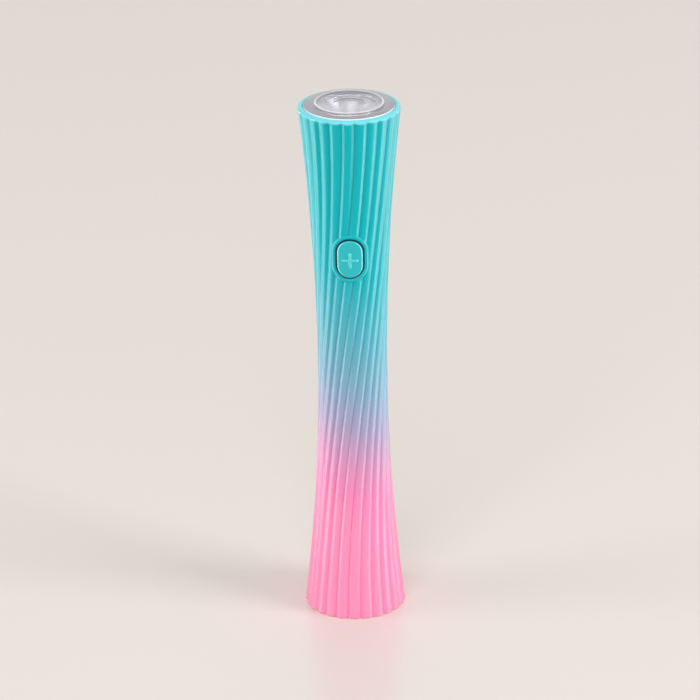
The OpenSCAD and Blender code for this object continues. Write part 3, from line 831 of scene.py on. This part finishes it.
def cross_bar(turned):
    """One soft bar of the cross, from under the face up to its rounded top."""
    outline = pill_outline(CROSS_W, CROSS_LEN, BAR_STEPS)
    straight = (CROSS_LEN - CROSS_W) / 2

    def inward(x, z, inset):
        """A point of the bar's outline moved inwards."""
        middle = min(max(z, -straight), straight)
        reach = math.hypot(x, z - middle)
        keep = (reach - inset) / reach
        return (x * keep, middle + (z - middle) * keep)

    section = [(0.0, -BAR_SUNK)]
    section += [(share * CROSS_W / 2, rise * CROSS_H) for share, rise in CROSS_PROFILE]
    rings = []
    for inset, lift in section:
        ring = []
        for x, z in outline:
            x, z = inward(x, z, inset)
            if turned:
                x, z = -z, x
            ring.append(on_face(x, z - CROSS_DROP, FACE_LIFT + lift))
        rings.append(ring)
    points, faces = capped_loft(rings)
    return mesh_piece("bar_tool", points, faces, [button_finish])


button = button_head()
flange_w = BUTTON_W + 2 * FLANGE_W
flange_outline = pill_outline(flange_w, flange_w + BUTTON_H - BUTTON_W, PILL_STEPS)
cut(button, front_prism("flange_tool", flange_outline, FLANGE_BACK - OVERLAP, FLANGE_FRONT), "UNION")
stem_turns = [2 * math.pi * k / STEM_STEPS for k in range(STEM_STEPS)]
stem_outline = [(STEM_R * math.cos(a), STEM_R * math.sin(a)) for a in stem_turns]
cut(button, front_prism("stem_tool", stem_outline, STEM_BACK, FLANGE_FRONT - STEM_SUNK), "UNION")
cut(button, cross_bar(turned=False), "UNION")
cut(button, cross_bar(turned=True), "UNION")
soften(button.data, sharp=40)
# Faces above the foot of the cross's bars take the painted highlight
for face in button.data.polygons:
    middle = face.center / MM
    bar_foot = on_face(middle.x, middle.z - BUTTON_Z, FACE_LIFT + CROSS_H * BAR_FROM)
    if middle.y < bar_foot[1]:
        face.material_index = 1
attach(button, "button")
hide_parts("button_cap")


# A black ring in the gap round the button, standing on its flange: painted shadow that makes the gap dark

GAP_SHADOW_PLAY = 0.04
GAP_SHADOW_ROOT = 0.04
GAP_SHADOW_SUNK = 0.14


def gap_shadow_rings():
    """The black ring of painted shadow, from just inside the flange to a little under the collar."""
    outline = pill_outline(BUTTON_W, BUTTON_H, PILL_STEPS)
    foot = GAP_SHADOW_ROOT - FLANGE_FRONT
    top = COLLAR_PROUD - GAP_SHADOW_SUNK
    inner = pill_offset(outline, GAP_SHADOW_PLAY)
    outer = pill_offset(outline, BUTTON_GAP - GAP_SHADOW_PLAY)
    return [
        [(x, foot, BUTTON_Z + z) for x, z in inner],
        [(x, foot, BUTTON_Z + z) for x, z in outer],
        [on_face(x, z, top) for x, z in outer],
        [on_face(x, z, top) for x, z in inner],
    ]


points, faces = loft(gap_shadow_rings(), closed_loop=True)
gap_shadow_ring = mesh_piece("gap_ring", points, faces, [gap_shadow_finish], "button")


# The lens: flat border, raised ring and a dish with moulding ripples

LENS_EDGE_ROUND = 0.2
EDGE_ARC_STEPS = 4
RING_FOOT = 0.25
RING_ROUND = 0.25
RING_ARC_STEPS = 6
LENS_STEPS = 160
DISH_SHELF = 0.15
DISH_STEPS = 48
DISH_DROP = 0.05
DISH_DROP_SHARE = 0.04

# Ripples in the dish: their distance from the axis, width and height
LENS_RIPPLES = ((7.1, 0.3, 0.06), (5.9, 0.25, -0.05), (4.4, 0.35, 0.05), (2.6, 0.3, -0.03))

# Where its finishes change: the inner edge of the grey mask, a painted reflection, the ring's line of
# painted highlight, and what counts as the side
MASK_R = LENS_RING_R - 0.5
RING_LINE_R = LENS_RING_R - 0.25
RING_LINE_W = 0.22
NEAR = 0.02
SIDE_LEAN = 0.3


def lens_profile():
    """Half of the lens's section, from the middle of its underside round to the middle of the dish."""
    ring_top = BODY_H + LENS_RING_H
    dish_r = LENS_RING_R - LENS_RING_W
    profile = [(0, LENS_Z), (MASK_R, LENS_Z), (LENS_R, LENS_Z), (LENS_R, BODY_H - LENS_EDGE_ROUND)]
    for a in quarter_turn(EDGE_ARC_STEPS, first=1):
        out, up = 1 - math.cos(a), 1 - math.sin(a)
        profile.append((LENS_R - LENS_EDGE_ROUND * out, BODY_H - LENS_EDGE_ROUND * up))
    for a in quarter_turn(EDGE_ARC_STEPS):
        out, up = 1 - math.sin(a), 1 - math.cos(a)
        profile.append((LENS_RING_R + RING_FOOT * out, BODY_H + RING_FOOT * up))
    for a in quarter_turn(RING_ARC_STEPS, first=1):
        out, up = 1 - math.cos(a), 1 - math.sin(a)
        profile.append((LENS_RING_R - RING_ROUND * out, ring_top - RING_ROUND * up))
    profile.append((dish_r + DISH_SHELF, ring_top))
    for k in range(DISH_STEPS + 1):
        u = 1 - k / DISH_STEPS
        z = ring_top - DISH_DROP * smooth((1 - u) / DISH_DROP_SHARE) - (LENS_DISH - DISH_DROP) * (1 - u * u)
        for place, width, height in LENS_RIPPLES:
            z += height * math.exp(-(((u * dish_r - place) / width) ** 2))
        profile.append((dish_r * u, z))
    return profile


points, faces = revolve(lens_profile(), LENS_STEPS)
lens_finishes = [lens_finish, lens_edge_highlight_finish, lens_ring_highlight_finish, lens_mask_reflection_finish]
lens = mesh_piece("lens_disc", points, faces, lens_finishes, "body", sharp=60)
for face in lens.data.polygons:
    middle = face.center / MM
    out = math.hypot(middle.x, middle.y)
    # The side takes the frosted white, which is partly a painted highlight
    if out > LENS_R - NEAR and abs(face.normal.z) < SIDE_LEAN:
        face.material_index = 1
    # The ring's crest takes the painted highlight
    if abs(out - RING_LINE_R) < RING_LINE_W and middle.z > BODY_H + LENS_RING_H / 2:
        face.material_index = 2
    # The border's underside takes the grey mask, a painted reflection of the flange
    if middle.z < LENS_Z + NEAR and out > MASK_R:
        face.material_index = 3
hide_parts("lens")


# The reflector: a deep parabolic cup with a flange under the lens

CUP_STEPS = 32
CUP_TURNS = 128


def cup_r(u):
    """Radius of the cup's inside from its foot at u = 0 to its mouth at u = 1."""
    return math.sqrt(FOOT_R ** 2 + (MOUTH_R ** 2 - FOOT_R ** 2) * u)


def cup_profile():
    """The cup's section: up the outside, round the flange and down the inside."""
    flange_z = LEDGE_Z - REFLECTOR_FLANGE_T
    flange_r = inner_r(flange_z) - SLOT_FIT
    wall_top = 1 - REFLECTOR_FLANGE_T / REFLECTOR_H
    shares = [k / CUP_STEPS for k in range(CUP_STEPS + 1)]
    outside = [(cup_r(wall_top * u) + REFLECTOR_WALL, LED_Z + REFLECTOR_H * wall_top * u) for u in shares]
    inside = [(cup_r(1 - u), LED_Z + REFLECTOR_H * (1 - u)) for u in shares]
    return outside + [(flange_r, flange_z), (flange_r, LEDGE_Z)] + inside


points, faces = revolve(cup_profile(), CUP_TURNS)
reflector = mesh_piece("reflector_cup", points, faces, [mirror_finish], "body", sharp=40)
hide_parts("reflector")


# Nodes whose CAD shape stays get their finish here
NODE_FINISHES = {
    "end_cap": pink_finish,
    "lens_seal": seal_finish,
    "led_board": aluminium_finish,
    "led_package": led_finish,
    "led_dome": silicone_finish,
    "led_board_screws": steel_finish,
    "board_carrier": white_finish,
    "main_board": board_finish,
    "board_screws": steel_finish,
    "driver_chip": chip_finish,
    "inductor": ferrite_finish,
    "board_parts": ceramic_finish,
    "switch_body": black_finish,
    "switch_cover": steel_finish,
    "switch_plunger": black_finish,
    "led_wires": wire_finish,
    "battery_cell": wrap_finish,
    "battery_tabs": nickel_finish,
    "battery_pads": foam_finish,
    "battery_foam_rings": foam_finish,
    "battery_wires": wire_finish,
    "charge_board": board_finish,
    "charge_chip": chip_finish,
    "charge_parts": ceramic_finish,
    "charge_wires": wire_finish,
    "usb_shell": socket_finish,
    "usb_insert": black_finish,
    "usb_contacts": gold_finish,
}
for name, finish in NODE_FINISHES.items():
    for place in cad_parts[name].material_slots:
        place.material = finish


# Stage: a plain pale floor, soft lights and the camera

FLOOR_HALF = 4.0


def floor_finish():
    """Smooth pale stone, lightly polished and faintly cloudy."""
    finish = Finish("pale_floor")
    cloud = finish.noise(400.0)
    finish.set("Base Color", finish.between(cloud, colour(215, 207, 200), colour(219, 211, 204)))
    finish.set("Roughness", finish.spread(cloud, 0.2, 0.26))
    return finish.material


floor_mesh = bpy.data.meshes.new("floor")
corners = [(x * FLOOR_HALF, y * FLOOR_HALF, 0) for x, y in ((-1, -1), (1, -1), (1, 1), (-1, 1))]
floor_mesh.from_pydata(corners, [], [(0, 1, 2, 3)])
floor_mesh.materials.append(floor_finish())
floor = bpy.data.objects.new("floor", floor_mesh)
bpy.context.scene.collection.objects.link(floor)


# Panels: azimuth from the front to the right in degrees, distance, height and size in metres, and watts
PANELS = (
    ("key_panel", 69, 1.0, 0.75, (0.5, 0.5), 7.0),
    ("front_panel", -10, 1.2, 0.95, (0.9, 0.9), 9.0),
    ("left_panel", -80, 1.0, 0.5, (0.5, 0.7), 3.5),
    ("back_panel", 180, 1.5, 0.6, (2.2, 0.9), 4.5),
)
PANEL_AIM = 0.08

# Strips close by: azimuth, distance, width and watts
STRIPS = (
    ("left_strip", -72, 0.055, 0.03, 0.19),
    ("right_strip", 74, 0.055, 0.03, 0.19),
    ("left_flank", -115, 0.08, 0.07, 0.15),
    ("right_flank", 115, 0.08, 0.07, 0.15),
)
STRIP_AIM = 0.04
STRIP_LENGTH = 0.21

# The even light of the room
ROOM_COLOUR = (1.0, 0.985, 0.97, 1)
ROOM_STRENGTH = 0.5


def soft_light(name, azimuth, distance, height, aim, size, power):
    """A rectangular light round the object, turned to a height on its axis."""
    light = bpy.data.lights.new(name, "AREA")
    light.shape = "RECTANGLE"
    light.size, light.size_y = size
    light.energy = power
    a = math.radians(azimuth)
    lamp = bpy.data.objects.new(name, light)
    lamp.location = (distance * math.sin(a), -distance * math.cos(a), height)
    lamp.rotation_euler = (Vector((0, 0, aim)) - lamp.location).to_track_quat("-Z", "Y").to_euler()
    lamp.visible_camera = False
    bpy.context.scene.collection.objects.link(lamp)
    return lamp


for name, azimuth, distance, height, size, power in PANELS:
    soft_light(name, azimuth, distance, height, PANEL_AIM, size, power)

# The ribs mirror the strips as pale lines: they light the gloss of the body and the button alone
mirrored = bpy.data.collections.new("mirror_the_strips")
mirrored.objects.link(shell)
mirrored.objects.link(button)
for name, azimuth, distance, width, power in STRIPS:
    strip = soft_light(name, azimuth, distance, STRIP_AIM, STRIP_AIM, (width, STRIP_LENGTH), power)
    strip.visible_diffuse = False
    strip.light_linking.receiver_collection = mirrored
    strip.light_linking.blocker_collection = mirrored

world = bpy.data.worlds.new("studio")
bpy.context.scene.world = world
world.use_nodes = True
room = world.node_tree.nodes["Background"]
room.inputs["Color"].default_value = ROOM_COLOUR
room.inputs["Strength"].default_value = ROOM_STRENGTH

# The photograph's camera: its turns and distance from the body's middle, and its frame in pixels
CAMERA_UP = math.radians(22.95)
CAMERA_ROUND = math.radians(1.75)
CAMERA_ROLL = math.radians(0.765)
CAMERA_OFF = 1.0606
CAMERA_NEAR = 0.05
SENSOR_W = 36
FRAME = 700
FOCUS = 4001
AIM_X = 352.41
AIM_Y = 356.61

camera_data = bpy.data.cameras.new("camera")
camera_data.sensor_width = SENSOR_W
camera_data.lens = FOCUS / FRAME * SENSOR_W
camera_data.shift_x = (FRAME / 2 - AIM_X) / FRAME
camera_data.shift_y = (AIM_Y - FRAME / 2) / FRAME
camera_data.clip_start = CAMERA_NEAR
camera = bpy.data.objects.new("camera", camera_data)
body_middle = Vector((0, 0, BODY_H * MM / 2))
camera.location = body_middle + CAMERA_OFF * Vector((
    math.cos(CAMERA_UP) * math.sin(CAMERA_ROUND),
    -math.cos(CAMERA_UP) * math.cos(CAMERA_ROUND),
    math.sin(CAMERA_UP),
))
look = (body_middle - camera.location).to_track_quat("-Z", "Y").to_matrix().to_4x4()
camera.matrix_world = Matrix.Translation(camera.location) @ look @ Matrix.Rotation(-CAMERA_ROLL, 4, "Z")
bpy.context.scene.collection.objects.link(camera)
bpy.context.scene.camera = camera

bpy.context.scene.view_settings.view_transform = "Standard"
